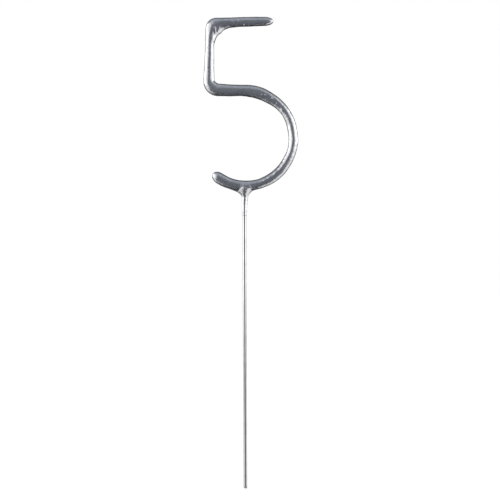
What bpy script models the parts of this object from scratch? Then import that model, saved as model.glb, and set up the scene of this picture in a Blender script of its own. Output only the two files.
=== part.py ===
"""Number sparkler: a silver five on a bare wire stem.

The five stands in the XZ plane and faces -Y. The origin is the middle of the stem's cut lower end,
and the stem runs up +Z. A wire bent into the five is welded to the top of the stem. Both dips of
sparkler mix wrap that wire, and a skin of silver paint covers them and runs a little way down the stem.
All lengths are in metres and all angles in degrees.
"""
import math

import bmesh
import bpy
import numpy
from mathutils import Vector

# Wire stock, the same for the stem and for the five
WIRE_RADIUS = 0.00075
STEM_LENGTH = 0.1140
CUT_BEVEL_WIDTH = 0.00055
CUT_BEVEL_HEIGHT = 0.00090

# The bent wire of the five, measured along the middle of the wire
BOWL_RADIUS = 0.0182
BOWL_SHIFT = 0.00046
HOOK_ANGLE = 33.3
MIDDLE_ARM_LENGTH = 0.01396
UPRIGHT_HEIGHT = 0.0258
UPRIGHT_LEAN = 1.6
TOP_ARM_LENGTH = 0.02064
TOP_ARM_RISE = 0.8
TOP_BEND_RADIUS = 0.0024
FOOT_BEND_RADIUS = 0.0036

# Layers on the wire, from the inside out, each at its thinnest
FILM_GAP = 0.00010
FIRST_DIP = 0.00022
SECOND_DIP = 0.00022
PAINT = 0.00017

# The coat's own shape: it fills the top corner with a web, so that its path bends there more widely
# than the wire does, and its ends are drawn out past the wire
WEB_EXTRA_RADIUS = 0.0037
TOP_NOSE_LENGTH = 0.00343
HOOK_NOSE_LENGTH = 0.00286

# Weld between the stem and the bowl
NUGGET_HEIGHT = 0.0008
NUGGET_HALF_WIDTH = 0.0013
NUGGET_CLASP = 0.00025
DIP_SKIRT = 0.0006

# Collar where the coat runs down on to the stem, and the paint that runs on below it
COLLAR_HEIGHT = 0.0027
COLLAR_LEFT_FLARE = 0.0039
COLLAR_RIGHT_FLARE = 0.0034
LEFT_FLARE_POWER = 2.0
RIGHT_FLARE_POWER = 2.25
PAINT_RUN_LENGTH = 0.0070
PAINT_RUN_THICKENING = 0.00023

# How far a cutter runs past what it cuts
OVERRUN = 0.0010

# Half-widths of the coat, as shares of its plain half-width, read along the path of the five.
# A place is the number of a leg and the share of that leg: 0 top arm, 1 top bend, 2 upright,
# 3 foot bend, 4 middle arm, 5 bowl. The left and right hands are those of a walk from the top arm's tip.
COAT_WIDTH_SHARES = (
    (0.00, 1.03, 1.03),
    (0.11, 1.07, 1.07),
    (0.38, 1.13, 1.08),
    (0.64, 1.25, 1.08),
    (0.90, 1.41, 1.01),
    (1.00, 1.67, 1.01),
    (1.50, 1.99, 1.03),
    (2.00, 1.51, 1.06),
    (2.15, 1.00, 1.03),
    (2.30, 1.03, 1.03),
    (2.50, 1.09, 1.09),
    (2.75, 1.15, 1.15),
    (3.00, 1.28, 1.24),
    (3.50, 1.58, 1.40),
    (4.00, 1.47, 1.42),
    (4.43, 1.26, 1.47),
    (4.81, 1.17, 1.40),
    (5.00, 1.17, 1.47),
    (5.02, 1.17, 1.60),
    (5.08, 1.17, 1.69),
    (5.15, 1.00, 1.65),
    (5.22, 1.01, 1.28),
    (5.28, 1.03, 1.08),
    (5.33, 1.08, 1.10),
    (5.38, 1.03, 1.17),
    (5.44, 1.19, 1.08),
    (5.50, 1.19, 1.01),
    (5.55, 1.22, 1.08),
    (5.70, 1.17, 1.08),
    (5.77, 1.19, 1.00),
    (5.84, 1.26, 1.10),
    (5.89, 1.33, 1.10),
    (5.94, 1.40, 1.10),
    (5.97, 1.44, 1.19),
    (6.00, 1.44, 1.17),
)
# How much of the coat's extra width also shows as extra depth
DEPTH_GROWTH_SHARE = 0.18

# The collar's rim lies this share of the coat's plain half-width below the middle of the bowl's wire
COLLAR_RIM_SHARE = 1.175
# The collar's half-depth, as a share of the coat's plain half-width
COLLAR_DEPTH_SHARE = 0.97
# The second dip starts this share of the way up the collar, and only paint lies below
SECOND_DIP_START_SHARE = 0.39
# The collar inside the bowl's coat: shares of the way from the collar's rim up to the bowl's wire,
# of the rim's half-widths, and of the collar's half-depth
COLLAR_ROOT_SHARES = (
    (0.25, 0.85, 1.00),
    (0.60, 0.55, 1.00),
    (1.00, 0.35, 1.00),
    (1.15, 0.25, 0.60),
)
# The weld nugget's half-depth, as a share of the wire's radius
NUGGET_DEPTH_SHARE = 0.93
# The weld nugget from its foot to its top, as shares of its height, half-width and half-depth
NUGGET_SHARES = (
    (0.00, 0.55, 0.80),
    (0.25, 0.80, 0.95),
    (0.60, 1.00, 1.00),
    (1.00, 0.90, 0.95),
)

# Edges bent more than this are drawn sharp
SHARP_ANGLE = 50

# Counts
LEG_STEPS = (5, 8, 5, 7, 4, 30)
SKIN_SIDES = 16
WIRE_SIDES = 12
NOSE_STEPS = 4
FLARE_STEPS = 6
RUN_STEPS = 3

# Worked out from the sizes above
FIRST_DIP_OUTSIDE = FILM_GAP + FIRST_DIP
SECOND_DIP_INSIDE = FIRST_DIP_OUTSIDE + FILM_GAP
PLAIN_HALF_WIDTH = WIRE_RADIUS + SECOND_DIP_INSIDE + SECOND_DIP + FILM_GAP + PAINT
SECOND_DIP_INSET = PAINT + FILM_GAP
STEM_BORE_RADIUS = WIRE_RADIUS + FILM_GAP
PAINT_RUN_HALF_WIDTH = STEM_BORE_RADIUS + PAINT
COAT_BEND_RADIUS = TOP_BEND_RADIUS + WEB_EXTRA_RADIUS
TOP_TURN = 90 - UPRIGHT_LEAN - TOP_ARM_RISE
FOOT_TURN = 90 + UPRIGHT_LEAN
NUGGET_FOOT_HEIGHT = STEM_LENGTH + FILM_GAP
BOWL_WIRE_HEIGHT = NUGGET_FOOT_HEIGHT + NUGGET_HEIGHT + FILM_GAP + WIRE_RADIUS
BOWL_CENTRE = Vector((BOWL_SHIFT, BOWL_WIRE_HEIGHT + BOWL_RADIUS))
COLLAR_RIM_HEIGHT = BOWL_WIRE_HEIGHT - PLAIN_HALF_WIDTH * COLLAR_RIM_SHARE
COLLAR_FOOT_HEIGHT = COLLAR_RIM_HEIGHT - COLLAR_HEIGHT
COLLAR_HALF_DEPTH = PLAIN_HALF_WIDTH * COLLAR_DEPTH_SHARE
COLLAR_RIGHT_FOOT = PAINT_RUN_HALF_WIDTH + PAINT_RUN_THICKENING


# The path of the five, in the XZ plane

def direction(heading):
    """Unit vector that points along a heading, which is turned left from +X."""
    angle = math.radians(heading)
    return Vector((math.cos(angle), math.sin(angle)))


def left_of(heading):
    """Unit vector that points to the left of a heading."""
    return direction(heading + 90)


def line_leg(start, heading, length):
    """A straight leg, as a function from a share of it to a point and a heading."""
    def at(share):
        return start + direction(heading) * length * share, heading
    return at


def arc_leg(centre, radius, first_heading, turn):
    """A round leg, turning left if turn is above zero, as a function like that of line_leg."""
    side = math.copysign(1, turn)

    def at(share):
        heading = first_heading + turn * share
        return centre - left_of(heading) * radius * side, heading
    return at


def bend_leg(corner, radius, first_heading, turn):
    """A left-hand bend that rounds a corner, and how much it takes off the straight legs beside it."""
    cut = radius * math.tan(math.radians(turn / 2))
    centre = corner - direction(first_heading) * cut + left_of(first_heading) * radius
    return arc_leg(centre, radius, first_heading, turn), cut


def numeral_legs(top_bend_radius):
    """The six legs of the five, from the tip of its top arm to the end of its hook."""
    arm_heading = TOP_ARM_RISE - 180
    upright_heading = arm_heading + TOP_TURN
    foot_corner = BOWL_CENTRE + Vector((-MIDDLE_ARM_LENGTH, BOWL_RADIUS))
    top_corner = foot_corner - direction(upright_heading) * UPRIGHT_HEIGHT
    top_tip = top_corner - direction(arm_heading) * TOP_ARM_LENGTH
    top_bend, top_cut = bend_leg(top_corner, top_bend_radius, arm_heading, TOP_TURN)
    foot_bend, foot_cut = bend_leg(foot_corner, FOOT_BEND_RADIUS, upright_heading, FOOT_TURN)
    upright_start = top_corner + direction(upright_heading) * top_cut
    return (
        line_leg(top_tip, arm_heading, TOP_ARM_LENGTH - top_cut),
        top_bend,
        line_leg(upright_start, upright_heading, UPRIGHT_HEIGHT - top_cut - foot_cut),
        foot_bend,
        line_leg(foot_corner + Vector((foot_cut, 0)), 0, MIDDLE_ARM_LENGTH - foot_cut),
        arc_leg(BOWL_CENTRE, BOWL_RADIUS, 0, -180 - HOOK_ANGLE),
    )


def stations():
    """Places along the five at which sections are set: leg numbers with the share of each leg."""
    places = [0.0]
    for leg, steps in enumerate(LEG_STEPS):
        places += [leg + (step + 1) / steps for step in range(steps)]
    return places


def point_and_heading(legs, place):
    """The point and the heading at a place, where 2.5 is halfway down the third leg."""
    leg = min(int(place), len(legs) - 1)
    return legs[leg](place - leg)


# Sections and lofts

def corner_power(half_width, half_depth):
    """Power of one side of a section: 2 is an ellipse, and a wide side gets fuller edges."""
    return 2 * math.sqrt(max(1.0, half_width / half_depth))


def section(centre, heading, left, right, depth, sides, inset=0.0):
    """A closed ring across a path: two half super-ellipses that share a depth, drawn in by an inset."""
    ring = []
    for number in range(sides):
        angle = math.tau * number / sides
        across = math.cos(angle)
        half_width = left if across > 0 else right
        power = 2 / corner_power(half_width, depth)
        shift = math.copysign(abs(across) ** power, across) * (half_width - inset)
        out = math.copysign(abs(math.sin(angle)) ** power, math.sin(angle)) * (depth - inset)
        middle = centre + left_of(heading) * shift
        ring.append(Vector((middle.x, -out, middle.y)))
    return ring


def round_section(centre, heading, radius, sides=WIRE_SIDES):
    """A round ring across a path."""
    return section(centre, heading, radius, radius, radius, sides)


def loft(name, rings):
    """A closed object through rings of points, where a ring of one point is a pole."""
    mesh = bmesh.new()
    loops = [[mesh.verts.new(point) for point in ring] for ring in rings]
    for lower, upper in zip(loops, loops[1:]):
        count = max(len(lower), len(upper))
        for number in range(count):
            following = (number + 1) % count
            corners = [
                lower[number % len(lower)],
                lower[following % len(lower)],
                upper[following % len(upper)],
                upper[number % len(upper)],
            ]
            mesh.faces.new(list(dict.fromkeys(corners)))
    for loop in (loops[0], loops[-1]):
        if len(loop) > 1:
            mesh.faces.new(loop)
    bmesh.ops.recalc_face_normals(mesh, faces=mesh.faces)
    data = bpy.data.meshes.new(name)
    mesh.to_mesh(data)
    mesh.free()
    data.shade_smooth()
    data.set_sharp_from_angle(angle=math.radians(SHARP_ANGLE))
    made = bpy.data.objects.new(name, data)
    bpy.context.scene.collection.objects.link(made)
    return made


def cutter(made):
    """Mark an object as a shape that only cuts or joins."""
    made.hide_render = True
    made.display_type = "WIRE"
    return made


def combine(target, operation, tool):
    """Join a cutter to a target or cut it out, with a Boolean modifier."""
    step = target.modifiers.new(tool.name, "BOOLEAN")
    step.operation = operation
    step.object = cutter(tool)


# The coat round the five

def outer_reach(bend_share, reach):
    """Distance of the coat's outer side from the coat's path at a share of the top bend.

    That side lies at the given reach from the wire, whose bend is tighter than the coat's.
    """
    half_turn = math.radians(TOP_TURN / 2)
    off_middle = half_turn * abs(2 * bend_share - 1)
    centre_shift = (COAT_BEND_RADIUS - TOP_BEND_RADIUS) / math.cos(half_turn)
    round_radius = TOP_BEND_RADIUS + reach
    across = centre_shift * math.sin(off_middle)
    span = centre_shift * math.cos(off_middle) + math.sqrt(round_radius ** 2 - across ** 2)
    if span * math.sin(off_middle) > round_radius * math.sin(half_turn):
        span = (COAT_BEND_RADIUS + reach) / math.cos(half_turn - off_middle)
    return span - COAT_BEND_RADIUS


def coat_half_widths(place):
    """Left, right and depth half-widths of the coat at a place on its path."""
    places, lefts, rights = zip(*COAT_WIDTH_SHARES)
    left = float(numpy.interp(place, places, lefts)) * PLAIN_HALF_WIDTH
    right = float(numpy.interp(place, places, rights)) * PLAIN_HALF_WIDTH
    if 1 < place < 2:
        right = outer_reach(place - 1, right)
    growth = (left + right) / 2 - PLAIN_HALF_WIDTH
    return left, right, PLAIN_HALF_WIDTH + growth * DEPTH_GROWTH_SHARE


def nose_rings(legs, place, length, inset):
    """Rings of a rounded end, from its pole back to the section that it closes."""
    end, heading = point_and_heading(legs, place)
    left, right, depth = coat_half_widths(place)
    outward = direction(heading) * (length - inset) * (1 if place else -1)
    rings = [[Vector((end.x + outward.x, 0, end.y + outward.y))]]
    for step in range(1, NOSE_STEPS):
        angle = math.pi / 2 * (1 - step / NOSE_STEPS)
        shrink = math.cos(angle)
        rings.append(section(
            end + outward * math.sin(angle), heading,
            (left - inset) * shrink, (right - inset) * shrink, (depth - inset) * shrink, SKIN_SIDES))
    return rings


def coat(name, inset):
    """The whole coat round the five, drawn in by an inset from its painted surface."""
    legs = numeral_legs(COAT_BEND_RADIUS)
    rings = nose_rings(legs, 0, TOP_NOSE_LENGTH, inset)
    for place in stations():
        point, heading = point_and_heading(legs, place)
        left, right, depth = coat_half_widths(place)
        rings.append(section(point, heading, left, right, depth, SKIN_SIDES, inset))
    rings += reversed(nose_rings(legs, len(legs), HOOK_NOSE_LENGTH, inset))
    return loft(name, rings)


# The collar on the stem

def flare(share, foot, rim, power):
    """Half-width of the collar at a share of its height."""
    return foot + (rim - foot) * share ** power


def run_sizes(run_length):
    """Height and left, right and depth half-widths of the paint run, from its lower end up."""
    sizes = []
    for step in range(RUN_STEPS):
        share = step / RUN_STEPS
        right = flare(share, PAINT_RUN_HALF_WIDTH, COLLAR_RIGHT_FOOT, LEFT_FLARE_POWER)
        height = COLLAR_FOOT_HEIGHT - run_length * (1 - share)
        sizes.append((height, PAINT_RUN_HALF_WIDTH, right, PAINT_RUN_HALF_WIDTH))
    return sizes


def collar_sizes(first_share):
    """The same sizes for the collar, from a share of its height up to its rim and into the bowl's coat."""
    sizes = []
    for step in range(FLARE_STEPS + 1):
        share = first_share + (1 - first_share) * step / FLARE_STEPS
        sizes.append((
            COLLAR_FOOT_HEIGHT + COLLAR_HEIGHT * share,
            flare(share, PAINT_RUN_HALF_WIDTH, COLLAR_LEFT_FLARE, LEFT_FLARE_POWER),
            flare(share, COLLAR_RIGHT_FOOT, COLLAR_RIGHT_FLARE, RIGHT_FLARE_POWER),
            flare(math.sin(math.pi / 2 * share), PAINT_RUN_HALF_WIDTH, COLLAR_HALF_DEPTH, 1)))
    for height_share, width_share, depth_share in COLLAR_ROOT_SHARES:
        sizes.append((
            COLLAR_RIM_HEIGHT + (BOWL_WIRE_HEIGHT - COLLAR_RIM_HEIGHT) * height_share,
            COLLAR_LEFT_FLARE * width_share,
            COLLAR_RIGHT_FLARE * width_share,
            COLLAR_HALF_DEPTH * depth_share))
    return sizes


def collar(name, inset, sizes):
    """A loft up the stem through a list of sizes, drawn in by an inset."""
    return loft(name, [
        section(Vector((0, height)), 90, left, right, depth, SKIN_SIDES, inset)
        for height, left, right, depth in sizes])


# The wires and the shapes that clear them

def core(name, offset):
    """A tube round the five's wire, whose surface and flat ends lie at an offset from the wire's own."""
    legs = numeral_legs(TOP_BEND_RADIUS)
    radius = WIRE_RADIUS + offset
    bevel = offset / 2
    rings = []
    for place in stations():
        rings.append(round_section(*point_and_heading(legs, place), radius))
    if offset:
        for end, side in ((0, -1), (len(legs), 1)):
            point, heading = point_and_heading(legs, end)
            shoulder = round_section(point + direction(heading) * side * (offset - bevel), heading, radius)
            tip = round_section(point + direction(heading) * side * offset, heading, radius - bevel)
            rings = [tip, shoulder] + rings if side < 0 else rings + [shoulder, tip]
    return loft(name, rings)


def boss(name, offset, foot_drop):
    """An oval block about the weld and the stem's top, at an offset from them, up to the bowl's wire."""
    half_width = NUGGET_HALF_WIDTH + offset
    foot = STEM_LENGTH - DIP_SKIRT - foot_drop
    return loft(name, [
        section(Vector((0, height)), 90, half_width, half_width, WIRE_RADIUS + offset, WIRE_SIDES)
        for height in (foot, BOWL_WIRE_HEIGHT)])


def stem_post(name, radius, foot, top):
    """An upright round bar on the stem's axis."""
    return loft(name, [round_section(Vector((0, height)), 90, radius) for height in (foot, top)])


# Materials

def paint(made, name, colour, roughness, metallic):
    """Give an object its own material."""
    material = bpy.data.materials.new(name)
    material.use_nodes = True
    surface = material.node_tree.nodes["Principled BSDF"]
    surface.inputs["Base Color"].default_value = (*colour, 1)
    surface.inputs["Roughness"].default_value = roughness
    surface.inputs["Metallic"].default_value = metallic
    made.data.materials.append(material)
    return made


# The pieces

def make_stem_wire():
    """Bare stem, sheared off at its lower end so that the left side is bevelled."""
    stem = stem_post("stem_wire", WIRE_RADIUS, 0, STEM_LENGTH)
    edge = Vector((CUT_BEVEL_WIDTH - WIRE_RADIUS, 0))
    slope = Vector((CUT_BEVEL_WIDTH, -CUT_BEVEL_HEIGHT))
    reach = OVERRUN / CUT_BEVEL_WIDTH
    toe = edge + slope * reach
    heel = edge - slope * (1 + reach)
    depth = WIRE_RADIUS + OVERRUN
    wedge = loft("shear_cut", [
        [Vector((x, side * depth, z)) for x, z in (heel, toe, (heel.x, toe.y))] for side in (-1, 1)])
    combine(stem, "DIFFERENCE", wedge)
    return paint(stem, "drawn_steel", (0.62, 0.62, 0.63), 0.3, 1.0)


def make_numeral_wire():
    """Wire bent into the five."""
    return paint(core("numeral_wire", 0), "bent_steel", (0.50, 0.50, 0.51), 0.4, 1.0)


def make_weld_nugget():
    """Lump of weld metal on the stem's top, cupped round the underside of the bowl's wire."""
    rings = []
    for height_share, width_share, depth_share in NUGGET_SHARES:
        middle = Vector((0, NUGGET_FOOT_HEIGHT + (NUGGET_HEIGHT + NUGGET_CLASP) * height_share))
        half_width = NUGGET_HALF_WIDTH * width_share
        half_depth = WIRE_RADIUS * NUGGET_DEPTH_SHARE * depth_share
        rings.append(section(middle, 90, half_width, half_width, half_depth, WIRE_SIDES))
    nugget = loft("weld_nugget", rings)
    combine(nugget, "DIFFERENCE", core("wire_clearance", FILM_GAP))
    return paint(nugget, "weld_metal", (0.30, 0.30, 0.32), 0.5, 1.0)


def make_first_dip():
    """First coat of sparkler mix, even round the wire and the weld, open where the stem comes in."""
    dip = core("first_dip", FIRST_DIP_OUTSIDE)
    combine(dip, "UNION", boss("first_dip_boss", FIRST_DIP_OUTSIDE, 0))
    combine(dip, "DIFFERENCE", core("first_dip_bore", FILM_GAP))
    combine(dip, "DIFFERENCE", boss("first_dip_weld_pocket", FILM_GAP, OVERRUN))
    return paint(dip, "first_mix", (0.16, 0.16, 0.17), 0.9, 0.1)


def make_second_dip():
    """Second coat of sparkler mix, which gives the five its swells, its corner web and its collar."""
    dip = coat("second_dip", SECOND_DIP_INSET)
    sizes = collar_sizes(SECOND_DIP_START_SHARE)
    combine(dip, "UNION", collar("second_dip_collar", SECOND_DIP_INSET, sizes))
    combine(dip, "DIFFERENCE", core("second_dip_bore", SECOND_DIP_INSIDE))
    combine(dip, "DIFFERENCE", boss("second_dip_weld_pocket", SECOND_DIP_INSIDE, FILM_GAP))
    foot = COLLAR_FOOT_HEIGHT - OVERRUN
    combine(dip, "DIFFERENCE", stem_post("second_dip_stem_bore", STEM_BORE_RADIUS, foot, STEM_LENGTH))
    return paint(dip, "second_mix", (0.22, 0.22, 0.23), 0.85, 0.2)


def make_silver_paint():
    """Skin of silver paint over the mix and a little way down the stem, where it ends open."""
    skin = coat("silver_paint", 0)
    outside = run_sizes(PAINT_RUN_LENGTH) + collar_sizes(0)
    inside = run_sizes(PAINT_RUN_LENGTH + OVERRUN) + collar_sizes(0)
    combine(skin, "UNION", collar("paint_collar", 0, outside))
    combine(skin, "DIFFERENCE", coat("paint_hollow", PAINT))
    combine(skin, "DIFFERENCE", collar("paint_collar_hollow", PAINT, inside))
    return paint(skin, "silver", (0.60, 0.62, 0.67), 0.3, 1.0)


for old in list(bpy.data.objects):
    bpy.data.objects.remove(old, do_unlink=True)
make_stem_wire()
make_numeral_wire()
make_weld_nugget()
make_first_dip()
make_second_dip()
make_silver_paint()
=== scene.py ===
"""Looks of the number sparkler: a silver five on a bare wire stem.

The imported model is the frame. The silver paint, the second dip under it and the stem wire are replaced by
fine meshes on the same paths and sizes, and the other hidden pieces keep their shapes. Lengths are in
millimetres until a mesh is finished, and in metres in the scene. The five faces -Y.
"""
import math

import bmesh
import bpy
import numpy as np
from mathutils import Matrix, Vector, noise


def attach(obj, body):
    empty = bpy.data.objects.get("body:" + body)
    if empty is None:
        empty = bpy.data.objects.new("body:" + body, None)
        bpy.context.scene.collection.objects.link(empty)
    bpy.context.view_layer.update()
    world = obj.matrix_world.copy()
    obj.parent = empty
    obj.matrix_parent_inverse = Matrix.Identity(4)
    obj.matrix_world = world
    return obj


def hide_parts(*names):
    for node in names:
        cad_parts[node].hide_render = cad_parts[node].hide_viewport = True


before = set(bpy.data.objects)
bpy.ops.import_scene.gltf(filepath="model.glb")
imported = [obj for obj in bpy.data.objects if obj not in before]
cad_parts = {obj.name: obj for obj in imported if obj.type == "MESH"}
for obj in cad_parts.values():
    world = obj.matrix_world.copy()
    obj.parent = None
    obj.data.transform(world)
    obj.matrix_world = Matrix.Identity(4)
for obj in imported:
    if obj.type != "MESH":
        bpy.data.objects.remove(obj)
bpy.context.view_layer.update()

MM = 0.001

# The wire and the path of the five
WIRE_RADIUS = 0.75
STEM_LENGTH = 114.0
CUT_BEVEL_WIDTH = 0.55
CUT_BEVEL_HEIGHT = 0.90
BOWL_RADIUS = 18.2
BOWL_SHIFT = 0.46
HOOK_ANGLE = 33.3
MIDDLE_ARM_LENGTH = 13.96
UPRIGHT_HEIGHT = 25.8
UPRIGHT_LEAN = 1.6
TOP_ARM_LENGTH = 20.64
TOP_ARM_RISE = 0.8
TOP_BEND_RADIUS = 2.4
FOOT_BEND_RADIUS = 3.6
BOWL_WIRE_HEIGHT = 115.75

# The coat over it
PLAIN_HALF_WIDTH = 1.66
PAINT = 0.17
COAT_BEND_RADIUS = 6.1
TOP_NOSE_LENGTH = 3.43
HOOK_NOSE_LENGTH = 2.86
DEPTH_GROWTH_SHARE = 0.40
NOSE_POWER = 0.6
SOFTEN_LENGTH = 0.9
BOWL_CENTRE = np.array((BOWL_SHIFT, BOWL_WIRE_HEIGHT + BOWL_RADIUS))

# What the mix inside it leaves free: the gap between layers, the first coat's thickness on the wire, half the
# weld's width, the least half-width round the stem, and the heights where the mix and the weld's boss start
FILM_GAP = 0.1
FIRST_MIX = 0.42
WELD_HALF_WIDTH = 1.3
STEM_ROOM = 0.78
MIX_FOOT_HEIGHT = 112.2
MIX_BOSS_HEIGHT = 113.3

# Half-widths of the coat along the path, as shares of the plain one: place, left hand, right hand.
# A place is the number of a leg of the five plus the share of that leg.
COAT_WIDTH_SHARES = np.array((
    (0.00, 1.03, 1.03), (0.11, 1.07, 1.07), (0.38, 1.13, 1.08), (0.64, 1.17, 1.08), (0.90, 1.36, 1.01),
    (1.00, 1.67, 1.01), (1.50, 2.19, 1.03), (2.00, 1.51, 1.06), (2.15, 1.00, 1.03), (2.30, 1.03, 1.03),
    (2.50, 1.09, 1.09), (2.75, 1.15, 1.15), (3.00, 1.28, 1.24), (3.50, 1.58, 1.40), (4.00, 1.47, 1.42),
    (4.43, 1.26, 1.47), (4.81, 1.17, 1.40), (5.00, 1.17, 1.47), (5.02, 1.17, 1.60), (5.08, 1.17, 1.69),
    (5.15, 1.00, 1.65), (5.22, 1.01, 1.28), (5.28, 1.03, 1.08), (5.33, 1.08, 1.10), (5.38, 1.03, 1.14),
    (5.44, 1.19, 1.00), (5.50, 1.19, 0.93), (5.55, 1.22, 1.08), (5.58, 1.22, 1.08), (5.62, 1.31, 1.08),
    (5.70, 1.31, 1.08), (5.74, 1.23, 1.04), (5.77, 1.26, 1.00), (5.84, 1.26, 1.10), (5.89, 1.33, 1.10),
    (5.94, 1.40, 1.10), (5.97, 1.44, 1.19), (6.00, 1.44, 1.17),
))
TOP_BEND_PLACES = (1, 2)

# Places where the coat's left side falls away from the middle on, and how fully: the web in the top bend
SLOPED_PLACES = ((0.6, 1.1, 1.8, 2.1), (0.0, 1.0, 1.0, 0.0))
SLOPED_POWER = 1.15

# How fine the painted surface is, and the hidden ones under it
RING_STEP = 0.2
SIDES = 72
NOSE_RINGS = 14
VOXEL = 0.13
HIDDEN_RING_STEP = 0.5
HIDDEN_SIDES = 24
HIDDEN_NOSE_RINGS = 6
HIDDEN_LOFT_SIDES = 32
STEM_RING_STEP = 0.5
STEM_SIDES = 48
SHARP_ANGLE = 50


def direction(heading):
    """Unit vectors in the XZ plane that point along headings in degrees."""
    angle = np.radians(heading)
    return np.stack((np.cos(angle), np.sin(angle)), -1)


def left_of(heading):
    return direction(np.asarray(heading) + 90)


def bend(corner, radius, heading, turn):
    """Centre of a left-hand bend that rounds a corner, and how much it takes off the legs beside it."""
    cut = radius * math.tan(math.radians(turn / 2))
    return corner - direction(heading) * cut + left_of(heading) * radius, cut


def numeral_legs(top_bend_radius):
    """The six legs of the five: start or centre, first heading, turn, length or radius."""
    arm_heading = TOP_ARM_RISE - 180
    upright_heading = arm_heading + 90 - UPRIGHT_LEAN - TOP_ARM_RISE
    top_turn = 90 - UPRIGHT_LEAN - TOP_ARM_RISE
    foot_turn = 90 + UPRIGHT_LEAN
    foot_corner = BOWL_CENTRE + np.array((-MIDDLE_ARM_LENGTH, BOWL_RADIUS))
    top_corner = foot_corner - direction(upright_heading) * UPRIGHT_HEIGHT
    top_tip = top_corner - direction(arm_heading) * TOP_ARM_LENGTH
    top_centre, top_cut = bend(top_corner, top_bend_radius, arm_heading, top_turn)
    foot_centre, foot_cut = bend(foot_corner, FOOT_BEND_RADIUS, upright_heading, foot_turn)
    upright_start = top_corner + direction(upright_heading) * top_cut
    return (
        (top_tip, arm_heading, 0, TOP_ARM_LENGTH - top_cut),
        (top_centre, arm_heading, top_turn, top_bend_radius),
        (upright_start, upright_heading, 0, UPRIGHT_HEIGHT - top_cut - foot_cut),
        (foot_centre, upright_heading, foot_turn, FOOT_BEND_RADIUS),
        (foot_corner + np.array((foot_cut, 0)), 0, 0, MIDDLE_ARM_LENGTH - foot_cut),
        (BOWL_CENTRE, 0, -180 - HOOK_ANGLE, BOWL_RADIUS),
    )


def path(legs, step):
    """Places, points and headings along the legs, about a step apart."""
    places, points, headings = [], [], []
    for number, (start, heading, turn, size) in enumerate(legs):
        length = abs(math.radians(turn)) * size if turn else size
        count = max(2, round(length / step))
        shares = np.arange(0 if number == 0 else 1, count + 1) / count
        there = heading + turn * shares
        if turn:
            spots = start - left_of(there) * size * math.copysign(1, turn)
        else:
            spots = start + direction(there) * size * shares[:, None]
        places.append(number + shares)
        points.append(spots)
        headings.append(there)
    return np.concatenate(places), np.concatenate(points), np.concatenate(headings)


def outer_reach(bend_share, reach):
    """Distance of the coat's outer side from the coat's path at a share of the top bend."""
    half_turn = math.radians((90 - UPRIGHT_LEAN - TOP_ARM_RISE) / 2)
    off_middle = half_turn * abs(2 * bend_share - 1)
    centre_shift = (COAT_BEND_RADIUS - TOP_BEND_RADIUS) / math.cos(half_turn)
    round_radius = TOP_BEND_RADIUS + reach
    across = centre_shift * math.sin(off_middle)
    span = centre_shift * math.cos(off_middle) + math.sqrt(round_radius ** 2 - across ** 2)
    if span * math.sin(off_middle) > round_radius * math.sin(half_turn):
        span = (COAT_BEND_RADIUS + reach) / math.cos(half_turn - off_middle)
    return span - COAT_BEND_RADIUS


def soften(values, reach):
    """Moving average over a number of neighbours on each side, with the ends held."""
    kernel = np.hanning(2 * reach + 3)[1:-1]
    kernel /= kernel.sum()
    padded = np.concatenate((np.full(reach, values[0]), values, np.full(reach, values[-1])))
    return np.convolve(padded, kernel, "valid")


def coat_half_widths(places, reach):
    """Left, right and depth half-widths of the coat at places on its path."""
    left = np.interp(places, COAT_WIDTH_SHARES[:, 0], COAT_WIDTH_SHARES[:, 1]) * PLAIN_HALF_WIDTH
    right = np.interp(places, COAT_WIDTH_SHARES[:, 0], COAT_WIDTH_SHARES[:, 2]) * PLAIN_HALF_WIDTH
    plain = right.copy()
    bend_start, bend_end = TOP_BEND_PLACES
    for number, place in enumerate(places):
        if bend_start < place < bend_end:
            right[number] = outer_reach(place - bend_start, right[number])
    growth = (left + plain) / 2 - PLAIN_HALF_WIDTH
    depth = PLAIN_HALF_WIDTH + growth * DEPTH_GROWTH_SHARE
    return soften(left, reach), soften(right, reach), soften(depth, reach)


def section(centres, headings, left, right, depth, sides, inset=0.0, slope=0.0):
    """Rings across a path: two half super-ellipses that share a depth, drawn in by an inset.

    Where the slope is 1, the left side falls away from the middle on instead of staying flat.
    """
    angle = math.tau * np.arange(sides) / sides
    across, out = np.cos(angle), np.sin(angle)
    widths = np.where(across > 0, left[:, None], right[:, None])
    power = 1 / np.sqrt(np.maximum(1, widths / depth[:, None]))
    power = np.where(across > 0, power + (SLOPED_POWER - power) * np.reshape(slope, (-1, 1)), power)
    shift = np.copysign(np.abs(across) ** power, across) * (widths - inset)
    lift = np.copysign(np.abs(out) ** power, out) * (depth[:, None] - inset)
    normal = left_of(headings)
    spots = centres[:, None, :] + normal[:, None, :] * shift[:, :, None]
    return np.stack((spots[..., 0], -lift, spots[..., 1]), -1)


def tube(rings, start_pole=None, end_pole=None):
    """Vertices and faces of a closed tube through rings, each end a pole or a flat cap."""
    count, sides = rings.shape[:2]
    verts = rings.reshape(-1, 3)
    index = np.arange(count * sides).reshape(count, sides)
    following = np.roll(index, -1, 1)
    faces = np.stack((index[:-1], following[:-1], following[1:], index[1:]), -1).reshape(-1, 4).tolist()
    for pole, ring in ((start_pole, index[0]), (end_pole, index[-1])):
        if pole is None:
            faces.append(ring.tolist())
        else:
            verts = np.vstack((verts, pole))
            faces += [(a, b, len(verts) - 1) for a, b in zip(ring, np.roll(ring, -1))]
    return verts, faces


def add_object(name, data):
    made = bpy.data.objects.new(name, data)
    bpy.context.scene.collection.objects.link(made)
    return made


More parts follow.
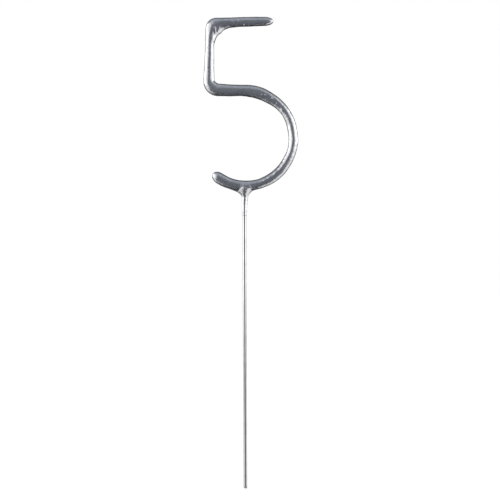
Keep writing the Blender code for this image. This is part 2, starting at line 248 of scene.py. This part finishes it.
def mesh_object(name, parts):
    """An object of one or more closed shells, with their normals outward."""
    mesh = bmesh.new()
    for verts, faces in parts:
        made = [mesh.verts.new(v) for v in verts]
        for face in faces:
            mesh.faces.new([made[i] for i in face])
    bmesh.ops.recalc_face_normals(mesh, faces=mesh.faces)
    data = bpy.data.meshes.new(name)
    mesh.to_mesh(data)
    mesh.free()
    return add_object(name, data)


def nose(end, heading, sizes, length, inset, sides, side, steps):
    """Rings of a rounded end from its pole to the section that it closes, and the pole."""
    left, right, depth = sizes
    outward = direction(heading) * (length - inset) * side
    angle = math.pi / 2 * (1 - np.arange(1, steps) / steps)
    shrink = np.cos(angle)
    centres = end + outward * np.sin(angle)[:, None]
    rings = section(centres, np.full(len(angle), heading), (left - inset) * shrink,
                    (right - inset) * shrink, (depth - inset) * shrink ** NOSE_POWER, sides)
    pole = end + outward
    return rings, (pole[0], 0, pole[1])


def coat(inset, sides, step, nose_steps):
    """The whole coat round the five, drawn in by an inset from its painted surface."""
    places, points, headings = path(numeral_legs(COAT_BEND_RADIUS), step)
    left, right, depth = coat_half_widths(places, max(1, round(SOFTEN_LENGTH / step)))
    rings = section(points, headings, left, right, depth, sides, inset, np.interp(places, *SLOPED_PLACES))
    first, first_pole = nose(points[0], headings[0], (left[0], right[0], depth[0]), TOP_NOSE_LENGTH,
                             inset, sides, -1, nose_steps)
    last, last_pole = nose(points[-1], headings[-1], (left[-1], right[-1], depth[-1]), HOOK_NOSE_LENGTH,
                           inset, sides, 1, nose_steps)
    return tube(np.concatenate((first, rings, last[::-1])), first_pole, last_pole)


# Lofts up the stem's axis: height, left, right and depth half-widths, and the sides' power, 2 for an ellipse.
# First the paint run on the stem, and the rib that it grows into on the bowl's front and back.
RIB = np.array((
    (104.10, 0.84, 0.84, 0.84, 2.0), (104.60, 0.90, 0.89, 0.89, 2.0), (106.00, 0.94, 0.94, 0.93, 2.0),
    (108.10, 0.95, 1.00, 0.95, 2.0), (109.50, 0.94, 1.15, 0.96, 2.0), (110.40, 0.92, 1.30, 0.97, 1.9),
    (111.10, 0.92, 1.40, 0.98, 1.8), (111.50, 0.93, 1.48, 0.99, 1.8), (111.74, 1.26, 1.52, 1.05, 1.7),
    (112.10, 1.40, 1.62, 1.14, 1.6), (112.50, 1.70, 1.95, 1.39, 1.65), (113.00, 2.10, 2.35, 1.53, 1.6),
    (113.50, 2.50, 2.80, 1.67, 1.6), (114.00, 2.90, 3.20, 1.79, 1.6), (114.50, 3.40, 3.60, 1.87, 1.65),
    (115.00, 3.60, 3.60, 1.74, 1.6), (115.60, 3.40, 3.20, 1.72, 1.7), (116.30, 2.60, 2.60, 1.68, 1.8),
    (117.20, 1.60, 1.60, 1.50, 1.6),
))
# Then the web that fills the corners beside it
WEB = np.array((
    (112.10, 1.38, 1.58, 0.84, 1.4), (112.50, 1.86, 2.00, 0.89, 1.4), (112.82, 2.24, 2.27, 0.94, 1.4),
    (113.08, 2.62, 2.55, 0.96, 1.4), (113.27, 3.00, 2.78, 0.98, 1.4), (113.47, 3.40, 3.02, 1.01, 1.4),
    (113.63, 3.80, 3.30, 1.04, 1.4), (113.78, 4.20, 3.58, 1.20, 1.5), (113.95, 4.60, 3.86, 1.15, 1.5),
    (114.20, 5.30, 4.90, 1.14, 1.5), (114.45, 6.00, 5.60, 1.20, 1.5), (114.90, 5.50, 5.20, 1.30, 1.5),
    (115.40, 4.60, 4.40, 1.40, 1.5),
))
# How far the rib stands proud at heights, and its half-width
RIB_LIFT = np.array((
    (112.60, 0.00, 1.20), (113.20, 0.06, 1.40), (113.80, 0.20, 1.60), (114.30, 0.34, 1.80),
    (114.70, 0.38, 1.90), (115.10, 0.32, 1.90), (115.60, 0.20, 1.80), (116.20, 0.09, 1.60),
    (116.90, 0.00, 1.40),
))
# How squarely it ends at its sides, how far it lies to the right of the stem, and how soon it is lifted in full
# where the surface turns to the front or the back
RIB_POWER = 3.2
RIB_SHIFT = 0.6
RIB_FACING_GAIN = 1.4


def upright_loft(sizes, sides, inset=0.0, least=0.0):
    """A closed loft up the stem's axis, of half super-ellipses, drawn in by an inset down to a least size."""
    heights, left, right, depth = sizes[:, :4].T
    left, right, depth = (np.maximum(size - inset, least)[:, None] for size in (left, right, depth))
    angle = math.tau * np.arange(sides) / sides
    cosine, sine = np.cos(angle), np.sin(angle)
    share = 2 / sizes[:, 4:]
    across = np.copysign(np.abs(cosine) ** share, -cosine) * np.where(cosine > 0, left, right)
    out = np.copysign(np.abs(sine) ** share, sine) * depth
    return tube(np.stack((across, out, np.repeat(heights[:, None], sides, 1)), -1))


def straight_loft(low, high, half_width, half_depth):
    """A closed elliptic loft up the stem's axis, of one size all the way."""
    sizes = np.array([(height, half_width, half_width, half_depth, 2.0) for height in (low, high)])
    return upright_loft(sizes, HIDDEN_SIDES)


def hidden_coat(inset):
    """The coat drawn in by an inset, as coarse as a hidden surface may be."""
    return coat(inset, HIDDEN_SIDES, HIDDEN_RING_STEP, HIDDEN_NOSE_RINGS)


def wire_clearance(radius, ends, sides):
    """A tube round the five's wire, of a radius, that passes the wire's ends by a length."""
    points, headings = path(numeral_legs(TOP_BEND_RADIUS), HIDDEN_RING_STEP)[1:]
    points = np.concatenate(([points[0] - direction(headings[0]) * ends], points[1:-1],
                             [points[-1] + direction(headings[-1]) * ends]))
    size = np.full(len(points), radius)
    return tube(section(points, headings, size, size, size, sides))


def rib_lift(spots, out):
    """How far the rib over the stem lifts the front and the back."""
    lift, width = (np.interp(spots[:, 2], RIB_LIFT[:, 0], column) for column in RIB_LIFT[:, 1:].T)
    share = np.exp(-(np.abs(spots[:, 0] - RIB_SHIFT) / width) ** RIB_POWER)
    return lift * share * np.clip(out[:, 1] * RIB_FACING_GAIN, -1, 1)


def applied(made, *modifiers):
    """The object's mesh after modifiers, each a type and its settings."""
    for kind, settings in modifiers:
        step = made.modifiers.new(kind, kind)
        for name, value in settings.items():
            setattr(step, name, value)
    graph = bpy.context.evaluated_depsgraph_get()
    data = bpy.data.meshes.new_from_object(made.evaluated_get(graph))
    made.modifiers.clear()
    old = made.data
    made.data = data
    bpy.data.meshes.remove(old)
    return made


def coordinates(data):
    spots = np.zeros(len(data.vertices) * 3)
    data.vertices.foreach_get("co", spots)
    return spots.reshape(-1, 3)


def normals(data):
    found = np.zeros(len(data.vertices) * 3)
    data.vertex_normals.foreach_get("vector", found)
    return found.reshape(-1, 3)


def noise_at(spots, size, seed):
    """Smooth noise of about -1 to 1 with features of a size, the same on every run."""
    shift = Vector((seed * 17.3, seed * 5.1, seed * 29.7))
    return np.array([noise.noise(Vector(spot) / size + shift) for spot in spots])


# Unevenness of the paint: its height, and the size of its features
LUMPS = ((0.030, 4.5), (0.028, 1.7), (0.028, 0.8), (0.013, 0.4))

# Small strokes on the surface: x and z of one end and of the other, radius, height, and the side that they are
# on, -1 the front
STROKES = (
    (-2.3, 179.0, -2.2, 177.2, 0.50, -0.06, -1),
    (-4.0, 179.2, -4.1, 176.9, 0.40, 0.07, -1),
    (-1.8, 179.0, -1.9, 177.2, 0.28, 0.035, -1),
    (-0.05, 177.0, -0.05, 176.7, 0.26, 0.10, -1),
    (0.25, 177.0, 0.25, 176.6, 0.26, -0.10, -1),
    (-11.1, 175.8, -10.8, 173.6, 0.30, 0.09, -1),
    (-9.3, 175.6, -10.2, 173.8, 0.34, 0.05, -1),
    (-12.9, 177.6, -12.7, 177.4, 0.35, 0.06, -1),
    (6.8, 150.1, 6.9, 150.0, 0.30, 0.12, -1),
    (8.0, 150.0, 8.1, 149.9, 0.28, 0.12, -1),
    (10.6, 148.9, 10.7, 148.6, 0.30, 0.13, -1),
    (8.4, 148.2, 8.5, 148.1, 0.26, 0.11, -1),
    (12.0, 147.1, 12.1, 147.0, 0.30, -0.12, -1),
    (14.3, 144.6, 14.6, 144.3, 0.40, 0.12, -1),
    (11.6, 120.4, 12.1, 121.0, 0.42, 0.10, -1),
    (7.6, 117.5, 7.8, 117.7, 0.30, 0.09, -1),
    (9.3, 118.6, 9.7, 118.9, 0.28, 0.08, -1),
    (3.1, 178.3, 3.3, 177.6, 0.45, -0.08, 1),
    (-11.8, 160.9, -11.7, 159.8, 0.40, 0.09, 1),
    (16.9, 141.4, 17.3, 140.2, 0.45, -0.09, 1),
    (9.5, 119.3, 10.2, 119.8, 0.35, 0.10, 1),
)


def make_paint():
    """The skin of silver paint, swollen and slightly uneven, hollow where the mix fills it."""
    outer = mesh_object("silver_coat", [
        coat(0, SIDES, RING_STEP, NOSE_RINGS), upright_loft(RIB, SIDES), upright_loft(WEB, SIDES)])
    applied(outer, ("REMESH", {"mode": "VOXEL", "voxel_size": VOXEL}),
            ("SMOOTH", {"factor": 0.5, "iterations": 6}))
    spots, out = coordinates(outer.data), normals(outer.data)
    spots[:, 1] += rib_lift(spots, out)
    push = sum(height * noise_at(spots, size, seed) for seed, (height, size) in enumerate(LUMPS, 1))
    for *ends, radius, height, side in STROKES:
        start, stop = np.reshape(ends, (2, 2))
        span = stop - start
        along = np.clip((spots[:, ::2] - start) @ span / (span @ span), 0, 1)
        away = spots[:, ::2] - start - along[:, None] * span
        push += height * np.exp(-(away ** 2).sum(1) / radius ** 2) * np.clip(out[:, 1] * side, 0, 1)
    spots += out * push[:, None]
    outer.data.vertices.foreach_set("co", spots.ravel())
    run_out = RIB[:1] - ((1, 0, 0, 0, 0),)
    combine(outer, "DIFFERENCE", hidden_coat(PAINT))
    combine(outer, "DIFFERENCE", upright_loft(np.vstack((run_out, RIB)), HIDDEN_LOFT_SIDES, PAINT, STEM_ROOM))
    combine(outer, "DIFFERENCE", upright_loft(WEB, HIDDEN_LOFT_SIDES, PAINT))
    return finished(outer)


def make_mix():
    """The second coat of sparkler mix inside the paint, hollow where the first coat fills it."""
    inset = PAINT + FILM_GAP
    mix = mesh_object("collared_mix", [hidden_coat(inset)])
    rib, web = (sizes[sizes[:, 0] > MIX_FOOT_HEIGHT] for sizes in (RIB, WEB))
    combine(mix, "UNION", upright_loft(rib, HIDDEN_LOFT_SIDES, inset, STEM_ROOM))
    combine(mix, "UNION", upright_loft(web, HIDDEN_LOFT_SIDES, inset))
    first = WIRE_RADIUS + FIRST_MIX
    combine(mix, "DIFFERENCE", wire_clearance(first, FIRST_MIX, HIDDEN_SIDES))
    boss = WELD_HALF_WIDTH + FIRST_MIX
    combine(mix, "DIFFERENCE", straight_loft(MIX_BOSS_HEIGHT, BOWL_WIRE_HEIGHT, boss, first))
    bore = WIRE_RADIUS + FILM_GAP
    combine(mix, "DIFFERENCE", straight_loft(MIX_FOOT_HEIGHT - 1, STEM_LENGTH, bore, bore))
    return finished(mix)


def combine(target, operation, shell):
    """Join a closed shell to an object, or cut it out."""
    tool = mesh_object("tool", [shell])
    applied(target, ("BOOLEAN", {"operation": operation, "object": tool, "solver": "MANIFOLD"}))
    bpy.data.objects.remove(tool)


def finished(made):
    """Millimetres to metres, and smooth shading."""
    made.data.transform(Matrix.Scale(MM, 4))
    made.data.shade_smooth()
    made.data.set_sharp_from_angle(angle=math.radians(SHARP_ANGLE))
    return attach(made, "root")


def make_stem():
    """The drawn wire, sheared off at its lower end."""
    heights = np.arange(round(STEM_LENGTH / STEM_RING_STEP) + 1) * STEM_RING_STEP
    centres = np.stack((np.zeros(len(heights)), heights), -1)
    upward = np.full(len(heights), 90.0)
    radius = np.full(len(heights), WIRE_RADIUS)
    made = mesh_object("drawn_stem", [tube(section(centres, upward, radius, radius, radius, STEM_SIDES))])
    mesh = bmesh.new()
    mesh.from_mesh(made.data)
    point = Vector((CUT_BEVEL_WIDTH - WIRE_RADIUS, 0, 0))
    across = Vector((-CUT_BEVEL_HEIGHT, 0, -CUT_BEVEL_WIDTH))
    bmesh.ops.bisect_plane(mesh, geom=mesh.verts[:] + mesh.edges[:] + mesh.faces[:],
                           plane_co=point, plane_no=across, clear_outer=True)
    bmesh.ops.holes_fill(mesh, edges=mesh.edges[:], sides=0)
    mesh.to_mesh(made.data)
    mesh.free()
    return finished(made)


# Materials

def new_material(name):
    material = bpy.data.materials.new(name)
    material.use_nodes = True
    tree = material.node_tree
    tree.nodes.clear()
    output = tree.nodes.new("ShaderNodeOutputMaterial")
    return material, tree, output


def node(tree, kind, **settings):
    """A node with its properties, and its inputs by name or number."""
    made = tree.nodes.new(kind)
    for name, value in settings.items():
        if name == "inputs":
            for socket, given in value.items():
                if isinstance(given, bpy.types.NodeSocket):
                    tree.links.new(given, made.inputs[socket])
                else:
                    made.inputs[socket].default_value = given
        else:
            setattr(made, name, value)
    return made


def maths(tree, operation, *values):
    return node(tree, "ShaderNodeMath", operation=operation, inputs=dict(enumerate(values))).outputs[0]


def grain_of(tree, where, scale, detail):
    return node(tree, "ShaderNodeTexNoise", inputs={
        "Vector": where, "Scale": scale, "Detail": detail}).outputs["Fac"]


def spread(tree, value, low, high, **ends):
    """A value mapped to a range, from 0 and 1 or from other ends."""
    given = {"Value": value, "To Min": low, "To Max": high}
    given.update((end.replace("_", " "), there) for end, there in ends.items())
    return node(tree, "ShaderNodeMapRange", inputs=given).outputs["Result"]


def bump(tree, strength, distance, height, **more):
    given = {"Strength": strength, "Distance": distance, "Height": height, **more}
    return node(tree, "ShaderNodeBump", inputs=given).outputs["Normal"]


def set_surface(tree, output, colour, metallic, rough, normal):
    surface = node(tree, "ShaderNodeBsdfPrincipled", inputs={
        "Base Color": colour, "Metallic": metallic, "Roughness": rough, "Normal": normal})
    tree.links.new(surface.outputs["BSDF"], output.inputs["Surface"])


def ramp(tree, fac, stops):
    """Outputs of a colour ramp through stops, each a place and a colour of three or four parts."""
    made = node(tree, "ShaderNodeValToRGB", inputs={"Fac": fac})
    elements = made.color_ramp.elements
    while len(elements) < len(stops):
        elements.new(0.5)
    for element, (place, colour) in zip(elements, stops):
        element.position = place
        element.color = (*colour, 1) if len(colour) == 3 else colour
    return made.outputs


def silver_material():
    """Silver paint over a grainy mix: a frosty metal skin with fine flakes, pits and a little cloudiness."""
    material, tree, output = new_material("silver_sparkler_paint")
    where = node(tree, "ShaderNodeNewGeometry").outputs["Position"]
    cloud = grain_of(tree, where, 420.0, 4.0)
    grain = grain_of(tree, where, 2200.0, 3.0)
    flake = node(tree, "ShaderNodeTexVoronoi", inputs={"Vector": where, "Scale": 3800.0}).outputs["Color"]
    colour = ramp(tree, cloud, ((0.3, (0.68, 0.685, 0.71)), (0.7, (0.78, 0.785, 0.81))))["Color"]
    rough = spread(tree, grain, 0.17, 0.26, From_Min=0.3, From_Max=0.7)
    lumps = bump(tree, 0.2, 0.00004, grain)
    pits = bump(tree, 0.12, 0.00002, flake, Normal=lumps)
    set_surface(tree, output, colour, 1.0, rough, pits)
    return material


def stem_material():
    """Drawn steel wire, with long drawing lines and a slightly uneven tone."""
    material, tree, output = new_material("drawn_stem_steel")
    where = node(tree, "ShaderNodeNewGeometry").outputs["Position"]
    stretched = node(tree, "ShaderNodeVectorMath", operation="MULTIPLY",
                     inputs={0: where, 1: (6000.0, 6000.0, 60.0)}).outputs["Vector"]
    lines = grain_of(tree, stretched, 1.0, 3.0)
    spots = grain_of(tree, where, 300.0, 4.0)
    colour = ramp(tree, spots, ((0.3, (0.61, 0.61, 0.62)), (0.7, (0.72, 0.72, 0.73))))["Color"]
    rough = spread(tree, lines, 0.13, 0.22, From_Min=0.3, From_Max=0.7)
    set_surface(tree, output, colour, 1.0, rough, bump(tree, 0.15, 0.00002, lines))
    return material


def plain_material(name, dark, light, scale, roughness, metallic):
    """A grainy material for a piece that the paint hides."""
    material, tree, output = new_material(name)
    where = node(tree, "ShaderNodeNewGeometry").outputs["Position"]
    grain = grain_of(tree, where, scale, 5.0)
    colour = ramp(tree, grain, ((0.35, dark), (0.65, light)))["Color"]
    rough = spread(tree, grain, roughness - 0.1, roughness + 0.1)
    set_surface(tree, output, colour, metallic, rough, bump(tree, 0.5, 0.0001, grain))
    return material


def give(made, material):
    made.data.materials.clear()
    made.data.materials.append(material)


# Stage, in metres and degrees: the hoop's middle, radius and sides, how far the floor card and the floor reach,
# the floor card's height, and how far to each side of the stem's foot it starts to fade
CARD_CENTRE = Vector((0.002, 0.0, 0.147))
CARD_RADIUS = 1.6
CARD_SIDES = 96
FLOOR_CARD_HALF_WIDTH = 2
FLOOR_HALF_SIZE = 4
CARD_LIFT = 0.0006
FOOT_SPAN = 0.02
# Low white walls round the stem's foot, like a louvre, that glow to paint a bright reflection on the stem's
# lower part: first and last radius, growth from each to the next, how much higher each is than it need be, the
# turns to the left and right where the first and the last wall start, the turn where they all end, and how many
# corners each has. A turn is 0 straight in front.
WALL_RADII = (0.002, 0.50)
WALL_GROWTH = 1.1
WALL_OVERLAP = 1.005
WALL_LEFT_STARTS = (8, 60)
WALL_RIGHT_STARTS = (46, 60)
WALL_END = 150
WALL_CORNERS = 32
# Camera and lamps
CAMERA_PLACE = (0.00207, -0.556, 0.0911)
CAMERA_ROLL = 0.198
CAMERA_LENS = 105
LAMP_DISTANCE = 1.7
LAMP_SIZE = 2.4
LAMP_ENERGY = 13.7
# Strengths: of the white walls, of the floor where it is seen, and of the world where it isn't
WHITE_CARD_STRENGTH = 0.95
FLOOR_GLOW = 0.62
WORLD_LIGHT = 0.45

# Shade of the dark cards by direction, from behind and below, through the front, to behind and above.
# Painted reflection shade that the dark cards glow with, by direction, from behind and below, through the
# front, to behind and above.
CARD_SHADES = (
    (0.000, 0.01), (0.090, 0.01), (0.140, 0.03), (0.208, 0.03), (0.250, 0.04), (0.292, 0.055), (0.360, 0.12),
    (0.420, 0.14), (0.500, 0.16), (0.560, 0.19), (0.610, 0.36), (0.710, 0.44), (0.770, 0.30), (0.820, 0.12),
    (0.880, 0.06), (0.930, 0.02), (1.000, 0.01),
)
CARD_TINT = (0.93, 1.0, 1.13)
# The paler patch of painted reflection shade straight behind: where it starts and is full, as the direction's
# part along Y, and its shade
BACK_FADE = (0.78, 1.0)
BACK_SHADE = 0.20
# Where the cards end to the left and to the right at such a share, as the sideways part of the direction, then
# how softly, and how much of them stays beyond
CARD_EDGES = (
    (0.00, (0.95, 0.93, 0.06, 0.00)), (0.09, (0.93, 0.93, 0.10, 0.02)), (0.14, (0.87, 0.88, 0.10, 0.06)),
    (0.175, (0.87, 0.88, 0.12, 0.10)), (0.21, (0.88, 0.64, 0.14, 0.25)), (0.25, (0.88, 0.44, 0.16, 0.28)),
    (0.29, (0.65, 0.42, 0.20, 0.18)), (0.36, (0.75, 0.58, 0.20, 0.05)), (0.42, (0.76, 0.76, 0.20, 0.04)),
    (0.455, (0.54, 0.56, 0.20, 0.00)), (0.50, (0.46, 0.50, 0.20, 0.00)), (0.58, (0.27, 0.50, 0.20, 0.00)),
    (0.64, (0.42, 0.46, 0.22, 0.00)), (0.71, (0.80, 0.74, 0.16, 0.03)), (0.79, (0.81, 0.82, 0.15, 0.05)),
    (0.86, (0.87, 0.88, 0.12, 0.05)), (0.92, (0.94, 0.93, 0.08, 0.00)), (1.00, (0.95, 0.93, 0.06, 0.00)),
)


def card_material(name, on_floor):
    """Dark card that glows with painted reflection shade: its shade changes round the object, and it fades out
    towards the side lights.
    """
    material, tree, output = new_material(name)
    where = node(tree, "ShaderNodeNewGeometry").outputs["Position"]
    seen = node(tree, "ShaderNodeVectorMath", operation="SUBTRACT", inputs={0: where, 1: CARD_CENTRE})
    aim = node(tree, "ShaderNodeVectorMath", operation="NORMALIZE", inputs={0: seen.outputs["Vector"]})
    parts = node(tree, "ShaderNodeSeparateXYZ", inputs={0: aim.outputs["Vector"]})
    turn = maths(tree, "ARCTAN2", parts.outputs["Z"], maths(tree, "MULTIPLY", parts.outputs["Y"], -1.0))
    share = spread(tree, turn, 0.0, 1.0, From_Min=-math.pi, From_Max=math.pi)
    tones = [(place, tuple(value * tint for tint in CARD_TINT)) for place, value in CARD_SHADES]
    front = ramp(tree, share, tones)["Color"]
    back = spread(tree, parts.outputs["Y"], 0.0, BACK_SHADE, From_Min=BACK_FADE[0], From_Max=BACK_FADE[1])
    shade = node(tree, "ShaderNodeVectorMath", operation="ADD", inputs={0: front, 1: back}).outputs["Vector"]
    reach = ramp(tree, share, CARD_EDGES)
    edges = node(tree, "ShaderNodeSeparateColor", inputs={"Color": reach["Color"]})
    is_right = maths(tree, "GREATER_THAN", parts.outputs["X"], 0.0)
    edge = node(tree, "ShaderNodeMix", data_type="FLOAT", inputs={
        0: is_right, 2: edges.outputs["Red"], 3: edges.outputs["Green"]}).outputs[0]
    side = maths(tree, "ABSOLUTE", parts.outputs["X"])
    if on_floor:
        spot = node(tree, "ShaderNodeSeparateXYZ", inputs={0: where})
        beyond = maths(tree, "SUBTRACT", maths(tree, "ABSOLUTE", spot.outputs["X"]), FOOT_SPAN)
        width = maths(tree, "MAXIMUM", beyond, 0.0)
        flat = node(tree, "ShaderNodeVectorMath", operation="LENGTH", inputs={0: where}).outputs["Value"]
        side = maths(tree, "MAXIMUM", side, maths(tree, "DIVIDE", width, flat))
    cover = node(tree, "ShaderNodeMapRange", interpolation_type="SMOOTHSTEP", inputs={
        "Value": side, "From Min": maths(tree, "SUBTRACT", edge, edges.outputs["Blue"]),
        "From Max": maths(tree, "ADD", edge, edges.outputs["Blue"]), "To Min": 1.0, "To Max": reach["Alpha"]})
    # The card's glow is the painted reflection shade that the silver shows
    glow = node(tree, "ShaderNodeEmission", inputs={"Color": shade, "Strength": 1.0})
    clear = node(tree, "ShaderNodeBsdfTransparent")
    mix = node(tree, "ShaderNodeMixShader", inputs={
        0: cover.outputs["Result"], 1: clear.outputs[0], 2: glow.outputs[0]})
    tree.links.new(mix.outputs[0], output.inputs["Surface"])
    material.cycles.emission_sampling = "NONE"
    return material


def white_card_material():
    # The walls glow white though they are no lamp: a painted highlight in the stem's reflection
    material, tree, output = new_material("white_card")
    glow = node(tree, "ShaderNodeEmission", inputs={"Color": (1, 1, 1, 1), "Strength": WHITE_CARD_STRENGTH})
    tree.links.new(glow.outputs[0], output.inputs["Surface"])
    material.cycles.emission_sampling = "NONE"
    return material


def make_card(name, verts, faces, material):
    """A card that is seen only in reflections."""
    data = bpy.data.meshes.new(name)
    data.from_pydata(verts, [], faces)
    made = add_object(name, data)
    give(made, material)
    made.visible_camera = False
    made.visible_diffuse = False
    made.visible_transmission = False
    made.visible_volume_scatter = False
    made.visible_shadow = False


def mirror_height(radius):
    """Height on the stem from which the camera's line, turned round, meets the floor card at a radius."""
    distance = -CAMERA_PLACE[1]
    return (CARD_LIFT * distance + CAMERA_PLACE[2] * radius) / (distance + radius)


def rectangle(half_width, half_length, height):
    return [(x * half_width, y * half_length, height) for x, y in ((-1, -1), (1, -1), (1, 1), (-1, 1))]


def make_cards():
    """A dark hoop round the object's X axis, a dark card on the floor, and the white walls on it."""
    verts, faces = [], []
    for number in range(CARD_SIDES):
        angle = math.tau * number / CARD_SIDES
        for x in (-CARD_RADIUS * 2, CARD_RADIUS * 2):
            verts.append((CARD_CENTRE.x + x, CARD_CENTRE.y - CARD_RADIUS * math.cos(angle),
                          CARD_CENTRE.z + CARD_RADIUS * math.sin(angle)))
        a, b = 2 * number, 2 * ((number + 1) % CARD_SIDES)
        faces.append((a, b, b + 1, a + 1))
    make_card("dark_hoop", verts, faces, card_material("dark_hoop", False))
    corners = rectangle(FLOOR_CARD_HALF_WIDTH, CARD_RADIUS, CARD_LIFT)
    make_card("dark_floor_card", corners, [(0, 1, 2, 3)], card_material("dark_floor_card", True))
    verts, faces = [], []
    radius = WALL_RADII[0]
    while radius < WALL_RADII[1]:
        seen_from = mirror_height(radius * WALL_GROWTH) * WALL_OVERLAP
        height = seen_from - radius * (CAMERA_PLACE[2] - seen_from) / -CAMERA_PLACE[1]
        for starts, side in ((WALL_LEFT_STARTS, -1), (WALL_RIGHT_STARTS, 1)):
            first = np.interp(radius, WALL_RADII, starts)
            for turn in np.linspace(first, WALL_END, WALL_CORNERS):
                x, y = radius * math.sin(math.radians(turn)) * side, -radius * math.cos(math.radians(turn))
                verts += [(x, y, 0.0), (x, y, height)]
                if turn > first:
                    last = len(verts) - 1
                    faces.append((last - 3, last - 1, last, last - 2))
        radius *= WALL_GROWTH
    make_card("white_foot_walls", verts, faces, white_card_material())


def background_ray(tree):
    """1 for camera, glossy and transmission rays, and 0 for the rest."""
    rays = node(tree, "ShaderNodeLightPath").outputs
    seen = maths(tree, "MAXIMUM", rays["Is Camera Ray"], rays["Is Glossy Ray"])
    return maths(tree, "MAXIMUM", seen, rays["Is Transmission Ray"])


def make_floor():
    data = bpy.data.meshes.new("floor")
    data.from_pydata(rectangle(FLOOR_HALF_SIZE, FLOOR_HALF_SIZE, 0), [], [(0, 1, 2, 3)])
    made = add_object("floor", data)
    material, tree, output = new_material("pale_floor")
    matt = node(tree, "ShaderNodeBsdfDiffuse", inputs={"Color": (0.86, 0.86, 0.86, 1)})
    glow = node(tree, "ShaderNodeEmission", inputs={"Color": (1, 1, 1, 1)})
    tree.links.new(maths(tree, "MULTIPLY", background_ray(tree), FLOOR_GLOW), glow.inputs["Strength"])
    both = node(tree, "ShaderNodeAddShader", inputs={0: matt.outputs[0], 1: glow.outputs[0]})
    tree.links.new(both.outputs[0], output.inputs["Surface"])
    material.cycles.emission_sampling = "NONE"
    give(made, material)


def make_world():
    world = bpy.data.worlds.new("white_studio")
    bpy.context.scene.world = world
    world.use_nodes = True
    tree = world.node_tree
    tree.nodes.clear()
    strength = spread(tree, background_ray(tree), WORLD_LIGHT, 1.0)
    back = node(tree, "ShaderNodeBackground", inputs={"Color": (1, 1, 1, 1), "Strength": strength})
    output = node(tree, "ShaderNodeOutputWorld")
    tree.links.new(back.outputs[0], output.inputs["Surface"])
    world.cycles.sampling_method = "NONE"


def make_lights():
    """A big soft light on each side."""
    for name, side in (("left_softbox", -1), ("right_softbox", 1)):
        data = bpy.data.lights.new(name, "AREA")
        data.shape = "DISK"
        data.size = LAMP_SIZE
        data.energy = LAMP_ENERGY
        made = add_object(name, data)
        made.location = (side * LAMP_DISTANCE, 0, CARD_CENTRE.z)
        made.rotation_euler = (0, side * math.pi / 2, 0)
        made.visible_camera = False


def make_camera():
    data = bpy.data.cameras.new("camera")
    data.lens = CAMERA_LENS
    data.sensor_width = 36
    data.clip_start = 0.01
    data.clip_end = 20
    made = add_object("camera", data)
    made.location = CAMERA_PLACE
    made.rotation_euler = (math.pi / 2, math.radians(CAMERA_ROLL), 0)
    bpy.context.scene.camera = made


paint = make_paint()
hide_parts("silver_paint")
give(paint, silver_material())
mix = make_mix()
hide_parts("second_dip")
give(mix, plain_material("second_sparkler_mix", (0.14, 0.14, 0.15), (0.32, 0.32, 0.34), 2200.0, 0.85, 0.0))
stem = make_stem()
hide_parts("stem_wire")
give(stem, stem_material())
give(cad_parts["numeral_wire"],
     plain_material("bent_wire_steel", (0.42, 0.42, 0.43), (0.58, 0.58, 0.60), 900.0, 0.4, 1.0))
give(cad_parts["weld_nugget"],
     plain_material("weld_slag_metal", (0.20, 0.19, 0.19), (0.42, 0.42, 0.44), 1500.0, 0.5, 1.0))
give(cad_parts["first_dip"],
     plain_material("first_sparkler_mix", (0.10, 0.10, 0.11), (0.26, 0.26, 0.28), 2600.0, 0.85, 0.0))
make_cards()
make_floor()
make_world()
make_lights()
make_camera()
bpy.context.scene.view_settings.view_transform = "Standard"
